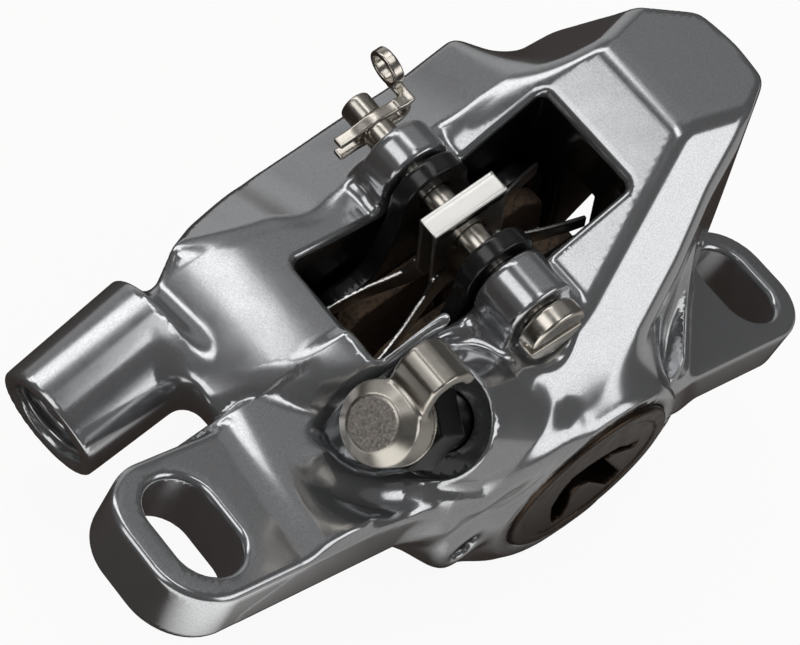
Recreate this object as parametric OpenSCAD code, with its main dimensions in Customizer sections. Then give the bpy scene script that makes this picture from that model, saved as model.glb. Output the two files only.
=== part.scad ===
/* [Mount] */
// distance between the two slotted bolt holes, mm
post_pitch = 74; // [72:0.5:76]
// thickness of the mounting tabs, mm
tab_t = 5.7; // [5:0.1:7]
// width of the mounting tabs across the slots, mm
tab_w = 14.1; // [13.6:0.1:15]
// width of each bolt slot, mm
slot_w = 6.4; // [6.2:0.1:6.8]
// end to end length of each bolt slot, mm
slot_len = 9.8; // [9:0.1:10.4]
// metal left beyond the slot at the end of each tab, mm
tab_end = 2.9; // [2.6:0.1:3.6]

/* [Body] */
// lean of the pads against the mounting plane, degrees
tilt = 30; // [28:0.5:32]
// distance from the bolt line to the middle of the rotor, mm
rotor_y = 10; // [9.8:0.1:10.4]
// place of the pad centre line along the leaning body, mm
pad_u = 5.9; // [5.4:0.1:6.4]
// height of the pad axle above the origin along the lean, mm
axle_h = 17.6; // [17.2:0.1:18]
// length of the pad window, mm
window_l = 27.8; // [27:0.2:29]
// width of the pad window across the rotor, mm
window_w = 11.8; // [11.6:0.1:12.6]
// rise of both decks away from the axle, degrees
deck_rise = 17; // [15:0.5:18]
// width of the slot that the rotor runs in, mm
rotor_slot = 4.4; // [4.2:0.1:5]
// radius of the slot's roof, a little more than the rotor, mm
rotor_r = 82; // [80:1:90]

/* [Hydraulics] */
// diameter of both pistons, mm
piston_d = 20; // [18:0.5:20.5]
// length of both pistons, mm
piston_l = 8.6; // [8:0.1:9]
// distance from the pad axle down to the pistons' centre, mm
piston_drop = 18.6; // [18:0.1:19]
// diameter of the screwed bore cap, mm
cap_d = 18.2; // [17.6:0.1:18.6]
// outside diameter of the hose port, mm
port_od = 10.8; // [10.4:0.1:11.4]
// bore of the hose port's thread, mm
port_bore = 8; // [7.6:0.1:8.4]
// depth of the hose port's threaded bore, mm
port_depth = 11; // [9:0.5:12]
// size across the flats of the bleed nipple's hexagon, mm
nipple_hex = 7; // [6.6:0.1:7.2]
// diameter of the bleed nipple's rubber cap, mm
bleed_cap_d = 7.2; // [7:0.1:7.4]

/* [Pads] */
// thickness of each pad's backing plate, mm
plate_t = 1.8; // [1.6:0.1:2]
// thickness of each pad's friction lining, mm
lining_t = 2; // [1.8:0.1:2.2]
// free distance from the rotor's middle to each lining, mm
lining_gap = 1.6; // [1.5:0.1:1.7]
// diameter of the round ear at the top of each plate, mm
ear_d = 7.4; // [7.2:0.1:7.8]
// diameter of the pad axle, mm
axle_d = 3; // [2.8:0.1:3.2]
// diameter of the pad axle's slotted head, mm
head_d = 6; // [5.8:0.1:6.4]
// sheet thickness of the pad spring, mm
spring_t = 0.4; // [0.3:0.05:0.5]

/* [Hidden] */
$fn = 72;
far = 120;
eps = 0.05;
fit = 0.04;
slack = 0.3;
window_x0 = pad_u - window_l / 2;
window_x1 = pad_u + window_l / 2;
half_window = window_w / 2;
near_wall = rotor_y - half_window;
far_wall = rotor_y + half_window;
piston_h = axle_h - piston_drop;
plate_out = lining_gap + lining_t + plate_t;
plate_in = lining_gap + lining_t;
window_top = axle_h + 0.6;
deck_slope = tan(deck_rise);
deck_low = window_top - deck_slope * window_l / 2;
ridge_x = window_x0 - 6.6;
ridge_h = window_top + deck_slope * 6.6;
crest_x = window_x1 + 6.6;
crest_h = window_top + deck_slope * 6.6;
nose_x = pad_u + 32.2;
nose_h = crest_h - 4.3;
tail_x = pad_u - 27.3;
tail_h = ridge_h - 1.3;
roof_h = axle_h - 6.1;
rib_h = deck_low + 2.3;
tab_y = tab_w / 2;
tab_x = post_pitch / 2 + slot_w / 2 + tab_end;
tab_round = 5.5;
boss_r = 3.6;
boss_near = near_wall - 5.2;
boss_far = far_wall + 3.7;
head_t = 1.9;
head_seat = boss_near - 0.1;
axle_tip = boss_far + 5.4;
clip_y = axle_tip - 2.8;
clip_w = 1.1;
clip_wire = 0.6;
clip_reach = 4;
groove_d = axle_d - 1;
near_face = rotor_y - 18.6;
far_face = rotor_y + 17.4;
ring_face = near_face - 1.2;
ring_r = cap_d / 2 + 1.5;
cap_t = 4;
cap_seal_y = near_face + 1.9;
bore_r = piston_d / 2 + fit;
house_r = piston_d / 2 + 3;
outer_bore_end = ring_face + cap_t + 0.6;
inner_bore_end = far_wall + piston_l + 0.7;
seal_w = 2;
seal_in = 2.2;
seal_r = piston_d / 2 + 1.5;
nip_lean = -66.2;
nip_pos = [-24.2, -2.2, 15];
nip_boss_r = 5.9;
nip_boss_s = 11.9;
nip_pocket_r = 4.8;
nip_pocket_s = 13.6;
nip_shank_r = 2.6;
nip_end_s = 21;
hex_s0 = 4.8;
hex_s1 = 9.4;
barb_r = 1.9;
tab_half = 2.1;
port_end = [-35.9, 17, -2.7];
port_lean = 63;
port_turn = 6.8;
port_len = 16;
passage_r = 1.1;
plate_w = window_l - 2 * slack;
plate_bottom = piston_h - 11.6;
plate_top = piston_h + 10.2;
lining_w = plate_w - 3.6;
lining_h = 19;
spring_top = axle_d / 2 + 2.05;
spring_l = 7.8;
spring_half = 1.1;

// turns the leaning frame of the pads into the frame of the mount
module lean() {
  rotate([0, -tilt, 0]) children();
}

// puts +Z along the bleed nipple, with its outer end at zero and depth downwards
module nipple_frame() {
  translate(nip_pos) rotate([0, nip_lean, 0]) children();
}

// puts +Z along the hose port, with its mouth at zero and depth upwards
module port_frame() {
  translate(port_end) rotate([0, 0, port_turn]) rotate([0, port_lean, 0]) children();
}

// a round bar along Y from a to b
module bar_y(x, z, r, a, b) {
  translate([x, a, z]) rotate([-90, 0, 0]) cylinder(r = r, h = b - a);
}

// a cone along Y from radius ra at a to rb at b
module cone_y(x, z, ra, rb, a, b) {
  translate([x, a, z]) rotate([-90, 0, 0]) cylinder(r1 = ra, r2 = rb, h = b - a);
}

// everything beyond a plane through p, whose outward normal has azimuth az and elevation el
module beyond(p, az, el) {
  translate(p) rotate([0, 90 - el, az]) translate([-far / 2, -far / 2, 0]) cube(far);
}

// side outline of the leaning block, whose top runs through the given middle points
module side_outline(mid) {
  polygon(concat([[tail_x, tail_h], [ridge_x, ridge_h]], mid, [[crest_x, crest_h],
    [nose_x, nose_h], [nose_x - 1.4, axle_h - 13.3], [pad_u + 26.4, piston_h - 11],
    [pad_u + 20, piston_h - 13.4], [pad_u + 8, piston_h - 11.5], [pad_u - 9, piston_h - 9.6],
    [pad_u - 15, piston_h - 1], [pad_u - 21, piston_h + 7], [tail_x - 0.6, tail_h - 4.6]]));
}

// the leaning block in one thickness, before its side facets are cut
module slab(mid) {
  intersection() {
    translate([0, far / 2, 0]) rotate([90, 0, 0]) linear_extrude(far) side_outline(mid);
    translate([0, 0, -far / 2]) linear_extrude(far) top_outline();
  }
}

// the part of a cut that lies between x0 and x1 along the lean
module between(x0, x1) {
  intersection() {
    children();
    translate([x0, -far, -far]) cube([x1 - x0, 2 * far, 2 * far]);
  }
}

// top outline of the leaning block
module top_outline() {
  polygon([[nose_x, rotor_y], [nose_x - 0.8, rotor_y - 4.6], [crest_x + 4.9, rotor_y - 8],
    [pad_u + 4.7, rotor_y - 17.1], [pad_u + 1.5, near_face], [pad_u - 16, near_face],
    [pad_u - 22, rotor_y - 14], [pad_u - 23.5, rotor_y - 2.4], [tail_x, rotor_y - 2.4],
    [tail_x - 0.6, rotor_y + 8.6], [pad_u - 22.4, rotor_y + 11.8],
    [pad_u - 18.5, rotor_y + 14.2], [pad_u - 9.4, far_face], [pad_u + 14, far_face],
    [pad_u + 15.3, rotor_y + 14], [pad_u + 21.4, rotor_y + 12.8], [crest_x + 4.8, rotor_y + 8.6],
    [nose_x - 0.8, rotor_y + 4.6]]);
}

// leaning block with its decks, nose and slanted side facets
module block() {
  difference() {
    union() {
      slab([[pad_u, deck_low]]);
      // inboard shoulder that runs level past the pad axle
      difference() {
        slab([]);
        beyond([pad_u, rotor_y + 9.4, rib_h], -90, 40);
      }
    }
    // facet on the outboard side, right of the axle
    beyond([pad_u + 6.3, rotor_y - 11.4, deck_low + 1.9], -81, 40.3);
    // facet on the outboard side, left of the axle
    beyond([pad_u - 13, rotor_y - 7.3, window_top - 0.3], -111, 52);
    // outboard wall of the nose, and its lower part down to the right tab
    beyond([pad_u + 25.3, rotor_y - 7.9, piston_h + 1], -54.7, -3.2);
    beyond([pad_u + 21.4, rotor_y - 10.4, piston_h - 8.2], -47.8, -9);
    // the wall stands upright beside the tab's underside, so that the tab's face is clear
    beyond([pad_u + 11.42, rotor_y - 14.12, piston_h - 9], -71.8, -10.6);
    // inboard facets, from the tail to the nose
    between(-far, pad_u - 9.4)
      beyond([pad_u - 17.7, rotor_y + 11, ridge_h - 0.9], 59, 52.8);
    between(pad_u - 9.4, pad_u + 6.9) beyond([pad_u, rotor_y + 9.4, rib_h], 90, 60);
    between(pad_u + 6.9, pad_u + 14.6)
      beyond([pad_u + 6.9, rotor_y + 9.2, rib_h - 0.1], 107.7, 60.6);
    between(pad_u + 14.6, far)
      beyond([crest_x - 0.3, rotor_y + 5.8, crest_h - 0.1], 90, 39.7);
    // hollow under the inboard half of the nose
    intersection() {
      beyond([pad_u + 17.6, rotor_y, piston_h - 2], 0, -55);
      translate([0, rotor_y, -far]) cube(2 * far);
    }
  }
}

// one mounting tab, drawn to the right, reaching back to x0
module tab(x0) {
  linear_extrude(tab_t) difference() {
    union() {
      translate([x0, -tab_y]) square([tab_x - tab_round - x0, tab_w]);
      translate([x0, -tab_y + tab_round]) square([tab_x - x0, tab_w - 2 * tab_round]);
      for (s = [-1, 1]) {
        translate([tab_x - tab_round, s * (tab_y - tab_round)]) circle(r = tab_round);
      }
    }
    translate([post_pitch / 2 - slot_w / 2, -(slot_len - slot_w) / 2])
      square([slot_w, slot_len - slot_w]);
    for (s = [-1, 1]) {
      translate([post_pitch / 2, s * (slot_len - slot_w) / 2]) circle(d = slot_w);
    }
  }
}

// metal that joins the tabs to the block
module tab_roots() {
  tab(14);
  mirror([1, 0, 0]) tab(14);
  // swelling where the left tab runs into the block
  translate([0, rotor_y - 2, 0]) rotate([90, 0, 0]) linear_extrude(tab_y + rotor_y - 2)
    polygon([[-28.6, tab_t - eps], [-24, tab_t + 0.9], [-20, tab_t + 4.6], [-12, 12], [-12, eps],
      [-28, eps]]);
  // flare where the block's outboard wall runs into the right tab
  difference() {
    translate([17.5, -tab_y, eps]) cube([13.5, tab_y + 2, 15]);
    lean() {
      beyond([pad_u + 21.4, rotor_y - 10.4, piston_h - 8.2], -42.7, 6.5);
      beyond([pad_u + 6.3, rotor_y - 11.4, deck_low + 1.9], -81, 40.3);
    }
  }
}

// raised bosses that carry the pad axle
module axle_bosses() {
  bar_y(pad_u, axle_h, boss_r, boss_near, near_wall + 1);
  bar_y(pad_u, axle_h, boss_r, far_wall - 1, boss_far);
  translate([pad_u - boss_r, boss_near, deck_low - 4])
    cube([2 * boss_r, near_wall + 1 - boss_near, axle_h - deck_low + 4]);
  translate([pad_u - boss_r, far_wall - 1, deck_low - 4])
    cube([2 * boss_r, boss_far - far_wall + 1, axle_h - deck_low + 4]);
}

// swellings round both piston bores
module bore_housings() {
  cone_y(pad_u, piston_h, ring_r, house_r + 0.6, ring_face, near_wall - 4);
  bar_y(pad_u, piston_h, house_r + 0.6, near_wall - 4, near_wall);
  bar_y(pad_u, piston_h, house_r + 0.6, far_wall, far_face - 2.5);
  cone_y(pad_u, piston_h, house_r + 0.6, house_r - 2, far_face - 2.5, far_face);
  // small drilled ear beside the outboard bore
  bar_y(pad_u - 14, piston_h + 3.7, 2.7, near_face - 0.6, near_wall - 2);
}

// drillings that the brake fluid runs through
module passages() {
  port_frame() translate([0, 0, port_depth - 2]) cylinder(r = passage_r, h = 16);
  nipple_frame() translate([0, 0, -nip_end_s - 7]) cylinder(r = passage_r, h = 9);
}

module caliper_body() {
  color([0.46, 0.47, 0.49]) difference() {
    union() {
      lean() {
        block();
        axle_bosses();
        bore_housings();
      }
      tab_roots();
      nipple_frame() translate([0, 0, -nip_boss_s - 13]) cylinder(r = nip_boss_r, h = 13);
      port_frame() cylinder(d = port_od, h = port_len);
    }
    lean() {
      // window that the pads drop through
      translate([window_x0, near_wall, piston_h - far / 2]) cube([window_l, window_w, far]);
      // slot that the rotor runs in
      bar_y(pad_u, roof_h - rotor_r, rotor_r, rotor_y - rotor_slot / 2, rotor_y + rotor_slot / 2);
      // piston bores with their seal grooves
      bar_y(pad_u, piston_h, bore_r, outer_bore_end, near_wall + eps);
      bar_y(pad_u, piston_h, bore_r, far_wall - eps, inner_bore_end);
      bar_y(pad_u, piston_h, seal_r, near_wall - seal_in - seal_w, near_wall - seal_in);
      bar_y(pad_u, piston_h, seal_r, far_wall + seal_in, far_wall + seal_in + seal_w);
      // seat of the screwed cap and its sealing ring
      bar_y(pad_u, piston_h, cap_d / 2 + fit, ring_face - eps, outer_bore_end + eps);
      bar_y(pad_u, piston_h, cap_d / 2 + 1, cap_seal_y - 0.8, cap_seal_y + 0.8);
      // hole for the pad axle, and the shallow seat of its head
      bar_y(pad_u, axle_h, axle_d / 2 + fit, boss_near - 8, boss_far + 8);
      bar_y(pad_u, axle_h, head_d / 2 + 0.6, boss_near - 9, head_seat + 0.5);
      // eye through the small ear
      bar_y(pad_u - 14, piston_h + 3.7, 1.5, near_face - 3, near_face + 4);
    }
    nipple_frame() {
      translate([0, 0, -nip_pocket_s]) cylinder(r = nip_pocket_r, h = 6);
      translate([0, 0, -nip_boss_s]) cylinder(r = nip_boss_r + 0.5, h = 14);
      translate([0, 0, -nip_end_s]) cylinder(r = nip_shank_r + fit, h = 10);
    }
    port_frame() {
      translate([0, 0, -eps]) cylinder(d = port_bore, h = port_depth);
      translate([0, 0, -eps]) cylinder(d1 = port_bore + 1.4, d2 = port_bore, h = 0.8);
    }
    passages();
  }
}

// three-lobed outline of the cap's key recess, k times its usual size
module key_outline(k) {
  polygon(k * [[5.1, 3], [3.1, 3.1], [1.6, 3.7], [-1, 3.2], [-2.3, 2.7], [-3.6, 1.9], [-3.8, 0],
    [-3.2, -2.7], [-1.8, -4.8], [-0.2, -6.8], [0.8, -6.7], [0.4, -4.7], [-0.9, -2.2], [-0.7, -0.9],
    [1, -1.2], [3.2, -2.5], [5.4, -3.8], [6.4, -3.7], [6.3, -2.3], [3.1, 0.3], [0.8, 2.2],
    [1.6, 2.7], [5.1, 2]]);
}

module bore_cap() {
  color([0.16, 0.11, 0.08]) lean() difference() {
    union() {
      cone_y(pad_u, piston_h, cap_d / 2 - 0.5, cap_d / 2, ring_face - 0.3, ring_face + 0.2);
      bar_y(pad_u, piston_h, cap_d / 2, ring_face + 0.2, ring_face + cap_t);
    }
    // three-lobed key recess
    translate([pad_u, ring_face + 2.2, piston_h]) rotate([90, tilt, 0]) linear_extrude(4)
      key_outline(cap_d / 18.2);
    // groove of the sealing ring
    difference() {
      bar_y(pad_u, piston_h, cap_d / 2 + 1, cap_seal_y - 0.8, cap_seal_y + 0.8);
      bar_y(pad_u, piston_h, cap_d / 2 - 0.8, cap_seal_y - 1, cap_seal_y + 1);
    }
  }
}

module bore_cap_seal() {
  color([0.08, 0.08, 0.08]) lean() translate([pad_u, cap_seal_y, piston_h]) rotate([-90, 0, 0])
    rotate_extrude() translate([cap_d / 2 + 0.08, 0]) circle(r = 0.75, $fn = 32);
}

// cup-shaped piston, open away from the pad; y is its pad end and s the way the pad lies
module piston(y, s) {
  color([0.78, 0.77, 0.72]) lean() difference() {
    bar_y(pad_u, piston_h, piston_d / 2, min(y, y - s * piston_l), max(y, y - s * piston_l));
    bar_y(pad_u, piston_h, piston_d / 2 - 3.4, min(y - s * 2.4, y - s * 12),
      max(y - s * 2.4, y - s * 12));
    bar_y(pad_u, piston_h, piston_d / 2 - 5, min(y - s * 0.6, y + s), max(y - s * 0.6, y + s));
  }
}

module outboard_piston() {
  piston(rotor_y - plate_out, 1);
}

module inboard_piston() {
  piston(rotor_y + plate_out, -1);
}

// square ring that seals a piston, from y0 over its width
module ring(y0) {
  color([0.1, 0.1, 0.1]) lean() difference() {
    bar_y(pad_u, piston_h, seal_r - fit, y0 + 0.1, y0 + seal_w - 0.1);
    bar_y(pad_u, piston_h, piston_d / 2 + fit / 2, y0 - 1, y0 + seal_w + 1);
  }
}

module outboard_piston_seal() {
  ring(near_wall - seal_in - seal_w);
}

module inboard_piston_seal() {
  ring(far_wall + seal_in);
}

// outline of a backing plate with its ear
module plate_outline() {
  difference() {
    union() {
      translate([pad_u, axle_h]) circle(d = ear_d);
      polygon([[pad_u - 2.4, axle_h + 2.5], [pad_u + 2.4, axle_h + 2.5], [pad_u + 6.5, plate_top],
        [pad_u + plate_w / 2 - 3, plate_top], [pad_u + plate_w / 2, plate_top - 3],
        [pad_u + plate_w / 2, piston_h - 6], [pad_u + 8, plate_bottom],
        [pad_u - 8, plate_bottom], [pad_u - plate_w / 2, piston_h - 6],
        [pad_u - plate_w / 2, plate_top - 3], [pad_u - plate_w / 2 + 3, plate_top],
        [pad_u - 6.5, plate_top]]);
    }
    translate([pad_u, axle_h]) circle(d = axle_d + 2 * fit);
  }
}

// a flat sheet standing across Y, from y0 and t thick
module sheet(y0, t) {
  lean() translate([0, y0 + t, 0]) rotate([90, 0, 0]) linear_extrude(t) children();
}

module outboard_backing_plate() {
  color([0.12, 0.12, 0.12]) sheet(rotor_y - plate_out, plate_t) plate_outline();
}

module inboard_backing_plate() {
  color([0.12, 0.12, 0.12]) sheet(rotor_y + plate_in, plate_t) plate_outline();
}

// outline of a friction block
module lining_outline() {
  translate([pad_u, piston_h]) difference() {
    polygon([[-lining_w / 2, lining_h / 2 - 2.5], [2.5 - lining_w / 2, lining_h / 2],
      [lining_w / 2 - 2.5, lining_h / 2], [lining_w / 2, lining_h / 2 - 2.5],
      [lining_w / 2, -lining_h / 4], [lining_w / 3.4, -lining_h / 2],
      [-lining_w / 3.4, -lining_h / 2], [-lining_w / 2, -lining_h / 4]]);
    translate([-0.5, -lining_h]) square([1, 2 * lining_h]);
  }
}

module outboard_lining() {
  color([0.3, 0.22, 0.16]) sheet(rotor_y - plate_in, lining_t) lining_outline();
}

module inboard_lining() {
  color([0.3, 0.22, 0.16]) sheet(rotor_y + lining_gap, lining_t) lining_outline();
}

// one flat leaf of the spring with its axle hole
module leaf_outline() {
  difference() {
    translate([pad_u, axle_h]) polygon([[-spring_l / 2, spring_top + spring_t],
      [spring_l / 2, spring_top + spring_t], [spring_l / 2, -4.8], [2.2, -7.3], [-2.2, -7.3],
      [-spring_l / 2, -4.8]]);
    translate([pad_u, axle_h]) circle(d = axle_d + 0.4);
  }
}

// curved leg of the spring, reaching out to the right and away from the rotor
module leg() {
  intersection() {
    translate([0, 0, axle_h - 13.3]) linear_extrude(12)
      polygon([[2, spring_half - spring_t], [4, 1.45 - spring_t], [6, 2.05 - spring_t],
        [8, 2.7 - spring_t], [10, 3.2 - spring_t], [12, plate_in - 0.02 - spring_t],
        [12, plate_in - 0.02], [10, 3.2], [8, 2.7], [6, 2.05], [4, 1.45], [2, spring_half]]);
    translate([0, far / 2, axle_h]) rotate([90, 0, 0]) linear_extrude(far)
      polygon([[2.1, -3.5], [3.9, -3.9], [5, -5.4], [7.7, -5.9], [9.7, -6.4], [12, -7.1],
        [12, -8.8], [9, -8.2], [6, -7.9], [4, -7.7], [2.1, -7.3]]);
  }
}

module pad_spring() {
  color([0.8, 0.79, 0.75]) {
    sheet(rotor_y - spring_half, spring_t) leaf_outline();
    sheet(rotor_y + spring_half - spring_t, spring_t) leaf_outline();
    lean() {
      translate([pad_u - spring_l / 2, rotor_y - spring_half, axle_h + spring_top])
        cube([spring_l, 2 * spring_half, spring_t]);
      translate([pad_u, rotor_y, 0]) {
        leg();
        mirror([1, 0, 0]) leg();
        mirror([0, 1, 0]) leg();
        mirror([1, 0, 0]) mirror([0, 1, 0]) leg();
      }
    }
  }
}

module pad_axle() {
  color([0.75, 0.73, 0.68]) lean() difference() {
    union() {
      bar_y(pad_u, axle_h, axle_d / 2, head_seat, axle_tip - 0.3);
      cone_y(pad_u, axle_h, axle_d / 2, axle_d / 2 - 0.3, axle_tip - 0.3, axle_tip);
      bar_y(pad_u, axle_h, head_d / 2, head_seat - head_t + 0.4, head_seat);
      cone_y(pad_u, axle_h, head_d / 2 - 0.4, head_d / 2, head_seat - head_t,
        head_seat - head_t + 0.4);
    }
    // screwdriver slot
    translate([pad_u, head_seat - head_t, axle_h]) rotate([0, 8, 0])
      translate([-5, -1, -0.45]) cube([10, 2, 0.9]);
    // groove that the clip sits in
    difference() {
      bar_y(pad_u, axle_h, axle_d, clip_y - clip_w / 2 - 0.05, clip_y + clip_w / 2 + 0.05);
      bar_y(pad_u, axle_h, groove_d / 2, clip_y - 2, clip_y + 2);
    }
  }
}

module axle_clip() {
  color([0.72, 0.7, 0.65]) lean() translate([pad_u, clip_y + clip_w / 2, axle_h]) {
    // two legs that straddle the axle, joined by a bend
    rotate([90, 0, 0]) linear_extrude(clip_w) {
      translate([-clip_reach, groove_d / 2 + fit]) square([clip_reach + 2.4, clip_wire]);
      translate([-clip_reach, -groove_d / 2 - fit - clip_wire])
        square([clip_reach + 2.4, clip_wire]);
      translate([2.4, 0]) intersection() {
        difference() {
          circle(r = groove_d / 2 + fit + clip_wire);
          circle(r = groove_d / 2 + fit);
        }
        translate([0, -4]) square([4, 8]);
      }
    }
    // strip that turns away from the caliper, with an eye to pull the clip by
    translate([3.2, -clip_w, 0.6]) cube([clip_w, clip_w + 1.5, clip_wire]);
    translate([3.2, 2.4, 2.1]) rotate([0, 90, 0]) rotate_extrude()
      translate([1.3, 0]) square([clip_wire, clip_w]);
  }
}

module bleed_nipple() {
  color([0.7, 0.68, 0.63]) nipple_frame() difference() {
    union() {
      translate([0, 0, -hex_s1]) cylinder(d = nipple_hex / cos(30), h = hex_s1 - hex_s0, $fn = 6);
      translate([0, 0, -nip_end_s + 1.6]) cylinder(r = nip_shank_r, h = nip_end_s - 8);
      translate([0, 0, -nip_end_s + 0.1]) cylinder(r1 = 1.2, r2 = nip_shank_r, h = 1.5);
      translate([0, 0, -6]) cylinder(r = barb_r, h = 4.6);
    }
    translate([0, 0, -18]) cylinder(r = 0.7, h = 18);
  }
}

module bleed_cap() {
  color([0.62, 0.6, 0.56]) nipple_frame() difference() {
    union() {
      translate([0, 0, -1.2]) cylinder(d1 = bleed_cap_d, d2 = 4.6, h = 1.2);
      translate([0, 0, -hex_s0 + 0.05]) cylinder(d = bleed_cap_d, h = hex_s0 - 1.25);
      // curled pull tab of the cap
      translate([0, tab_half, 0]) rotate([90, 0, 0]) linear_extrude(2 * tab_half)
        polygon([[2.8, -1.7], [4.2, -0.6], [5.4, 0], [6.6, -0.2], [7.6, -1.2], [8, -2.8],
          [7.5, -5], [6.5, -4.8], [6.9, -3], [6.5, -1.8], [5.5, -1.3], [4.4, -1.9], [2.8, -3]]);
    }
    translate([0, 0, -6.2]) cylinder(r = barb_r + fit, h = 5);
  }
}

caliper_body();
bore_cap();
bore_cap_seal();
outboard_piston();
inboard_piston();
outboard_piston_seal();
inboard_piston_seal();
outboard_backing_plate();
inboard_backing_plate();
outboard_lining();
inboard_lining();
pad_spring();
pad_axle();
axle_clip();
bleed_nipple();
bleed_cap();
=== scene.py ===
# Builds the visual model of a two-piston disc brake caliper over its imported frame.
# Lengths in the field functions are millimetres; meshes are metres.
import math
import bpy
import numpy as np
from bpy.props import FloatProperty, FloatVectorProperty, PointerProperty
from mathutils import Matrix, Vector


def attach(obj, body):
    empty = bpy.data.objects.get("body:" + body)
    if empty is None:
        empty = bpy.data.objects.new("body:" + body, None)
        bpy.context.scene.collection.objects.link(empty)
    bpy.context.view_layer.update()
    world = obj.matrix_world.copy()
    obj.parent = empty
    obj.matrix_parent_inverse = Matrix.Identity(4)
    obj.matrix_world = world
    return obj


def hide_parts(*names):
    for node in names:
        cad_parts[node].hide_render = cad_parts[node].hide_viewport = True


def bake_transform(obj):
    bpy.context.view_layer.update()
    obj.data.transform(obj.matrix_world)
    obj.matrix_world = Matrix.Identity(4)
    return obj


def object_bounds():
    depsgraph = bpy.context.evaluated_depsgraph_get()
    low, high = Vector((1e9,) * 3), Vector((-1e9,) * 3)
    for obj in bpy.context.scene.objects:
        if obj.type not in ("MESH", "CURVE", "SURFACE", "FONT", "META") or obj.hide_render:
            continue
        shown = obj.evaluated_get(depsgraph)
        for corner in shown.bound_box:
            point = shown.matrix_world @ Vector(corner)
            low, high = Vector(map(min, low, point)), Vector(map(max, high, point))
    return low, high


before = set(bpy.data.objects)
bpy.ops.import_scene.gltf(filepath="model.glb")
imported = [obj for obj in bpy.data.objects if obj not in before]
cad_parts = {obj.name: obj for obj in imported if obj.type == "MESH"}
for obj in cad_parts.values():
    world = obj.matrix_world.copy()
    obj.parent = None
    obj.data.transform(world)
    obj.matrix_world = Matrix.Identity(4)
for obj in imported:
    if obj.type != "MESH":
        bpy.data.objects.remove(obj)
CAD_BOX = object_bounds()

bl_info = {
    "name": "Disc brake caliper",
    "version": (1, 0, 0),
    "blender": (4, 5, 0),
    "location": "View3D > Sidebar > Caliper",
    "description": "Builds a disc brake caliper, its small parts, finishes and stage",
    "category": "Add Mesh",
}

MM = 0.001
TILT = math.radians(30)
LEAN_COS = math.cos(TILT)
LEAN_SIN = math.sin(TILT)

# ---- places and sizes shared by several pieces, in millimetres: nipple, port, posts and tabs in
# the row frame of the two slots, the rest in the frame that leans with the pads
PAD_U = 5.9
ROTOR_Y = 10.0
AXLE_W = 17.6
PISTON_W = -1.0
NEAR_WALL, FAR_WALL = 4.1, 15.9
RING_FACE = -9.8
NIPPLE_POINT = (-24.2, -2.2, 15.0)
NIPPLE_LEAN = math.radians(-66.2)
NIPPLE_AXIS = (math.sin(NIPPLE_LEAN), 0.0, math.cos(NIPPLE_LEAN))
PORT_POINT = (-35.9, 17.0, -2.7)
PORT_AXIS = (-0.884739, -0.105499, -0.453991)
POST_X = 37.0
ALONG_Y = (0, 1, 0)
BORE_CENTRE = (PAD_U, 0, PISTON_W)
EAR_CENTRE = (-8.1, 0, 2.7)
WINDOW_U = (-7.9, 19.8)
TAB_END, TAB_HALF, TAB_TOP, TAB_CORNER = 43.1, 7.05, 5.7, 5.5
SLOT_R, SLOT_HALF = 3.2, 1.7
ROTOR_W, ROTOR_R, ROTOR_GAP = -70.5, 82, 2.2
HOUSING_R, BORE_R, CAP_BORE_R = 13.6, 10.04, 9.14
BOSS_R, AXLE_HOLE_R, HEAD_SEAT_R = 3.6, 1.54, 3.7
AXLE_R, AXLE_HEAD_R, CLIP_Y = 1.5, 3.0, 22.2
NIPPLE_POCKET_R, NIPPLE_HOLE_R, PORT_BORE_R = 4.8, 2.64, 4.0
EAR_R, EAR_HOLE_R = 2.7, 1.5
PLATE_T, PLATE_EAR_R = 1.8, 3.7


# ---------------- fields
def round_max(a, b, r):
    """Intersection of two fields whose shared edge is rounded by r."""
    p = np.maximum(a + r, 0)
    q = np.maximum(b + r, 0)
    return np.minimum(np.maximum(a, b), -r) + np.sqrt(p * p + q * q)


def round_min(a, b, r):
    """Union of two fields with a fillet of radius r."""
    return -round_max(-a, -b, r)


def cut(d, tool, r):
    """What is left of d when a tool is taken out of it, with the new edge rounded by r."""
    return round_max(d, -tool, r)


def between(v, low, high):
    """Signed distance to the layer from low to high."""
    return np.maximum(low - v, v - high)


def soft_min(a, b, k):
    """Union of two fields, blended where they differ by less than k."""
    h = np.maximum(k - np.abs(a - b), 0) / k
    return np.minimum(a, b) - h * h * h * k / 6


def soft_max(a, b, k):
    return -soft_min(-a, -b, k)


def ramp(x, a, b):
    """0 below a, 1 above b, smooth between."""
    t = np.clip((x - a) / (b - a), 0, 1)
    return t * t * (3 - 2 * t)


def facet(q, normal, point):
    """Signed distance to a plane, positive on the side its normal points to."""
    n = np.array(normal, float)
    n /= np.linalg.norm(n)
    return (q[0] - point[0]) * n[0] + (q[1] - point[1]) * n[1] + (q[2] - point[2]) * n[2]


def polygon_field(x, y, points):
    """Signed distance to a closed flat outline."""
    pts = np.array(points, float)
    best = np.full(x.shape, 1e9)
    sign = np.ones(x.shape)
    for a, b in zip(pts, np.roll(pts, 1, 0)):
        ex, ey = b[0] - a[0], b[1] - a[1]
        wx, wy = x - a[0], y - a[1]
        t = np.clip((wx * ex + wy * ey) / (ex * ex + ey * ey), 0, 1)
        best = np.minimum(best, (wx - ex * t) ** 2 + (wy - ey * t) ** 2)
        above = y >= a[1]
        below = y < b[1]
        left = ex * wy > ey * wx
        sign = np.where((above & below & left) | (~above & ~below & ~left), -sign, sign)
    return sign * np.sqrt(best)


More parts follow.
